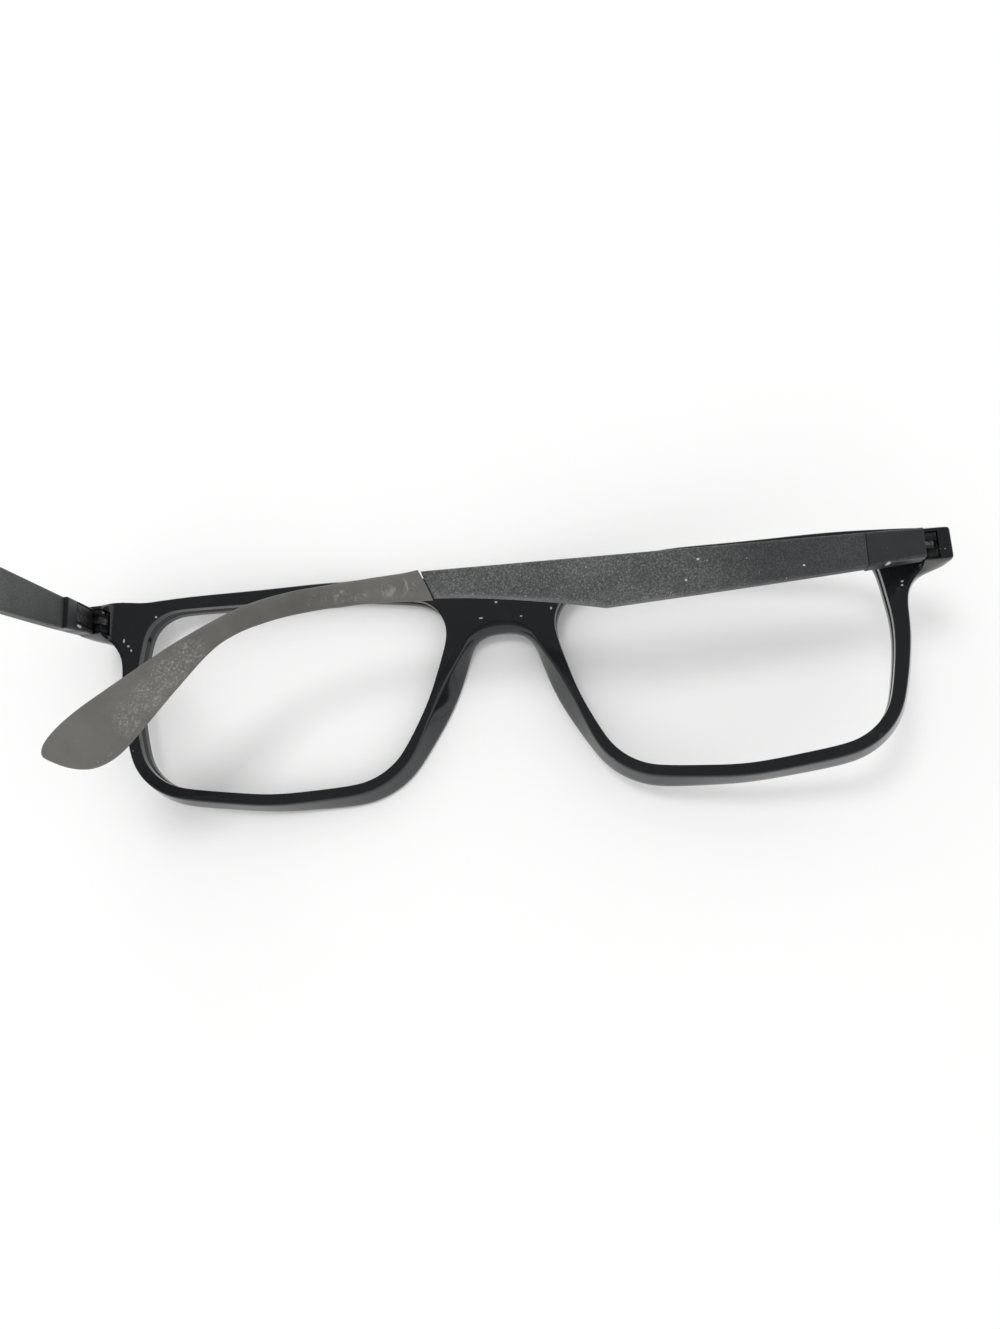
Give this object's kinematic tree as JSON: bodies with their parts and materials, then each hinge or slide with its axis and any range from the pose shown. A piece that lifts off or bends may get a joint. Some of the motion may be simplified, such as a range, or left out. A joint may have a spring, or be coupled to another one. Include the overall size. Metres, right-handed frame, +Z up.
{
  "type": "broken eyeglasses",
  "caption": "Full-rim eyeglass frame without lenses, glossy dark front, grained flat temples on screwed hinges and scuffed rubber tip sleeves, lying face down with one temple folded.",
  "frame": {"origin": "centre of the whole object's box on the surface that it lies on", "axes": "+X along the front from the wearer's left to right, +Y up the lenses, +Z up from the surface, the way the open temple points"},
  "size_m": [0.1478, 0.043, 0.1445],
  "materials": {
    "front_plastic": "polished black moulding",
    "block_plastic": "satin black",
    "bar_metal": "fine-grained dark grey coat",
    "hinge_metal": "blackened",
    "screw_steel": "turned",
    "sleeve_rubber": "matt, scuffed and worn at the tip"
  },
  "bodies": {
    "front": {"front_frame": "front_plastic", "right_front_hinge": "hinge_metal", "right_hinge_screw": "screw_steel", "left_front_hinge": "hinge_metal", "left_hinge_screw": "screw_steel"},
    "right_temple": {"right_temple_hinge": "hinge_metal", "right_hinge_block": "block_plastic", "right_temple_bar": "bar_metal", "right_tip_sleeve": "sleeve_rubber"},
    "left_temple": {"left_temple_hinge": "hinge_metal", "left_hinge_block": "block_plastic", "left_temple_bar": "bar_metal", "left_tip_sleeve": "sleeve_rubber"}
  },
  "joints": [
    {"name": "right_temple_fold", "type": "hinge", "parent": "front", "child": "right_temple", "pos_m": [0.07046, 0.01205, 0.02457], "axis": [0.0054, -0.9985, -0.0538], "range_deg": [-83.5, 4]},
    {"name": "left_temple_fold", "type": "hinge", "parent": "front", "child": "left_temple", "pos_m": [-0.06764, 0.01305, 0.01066], "axis": [-0.0054, 0.9985, 0.0538], "range_deg": [-6, 56]}
  ]
}
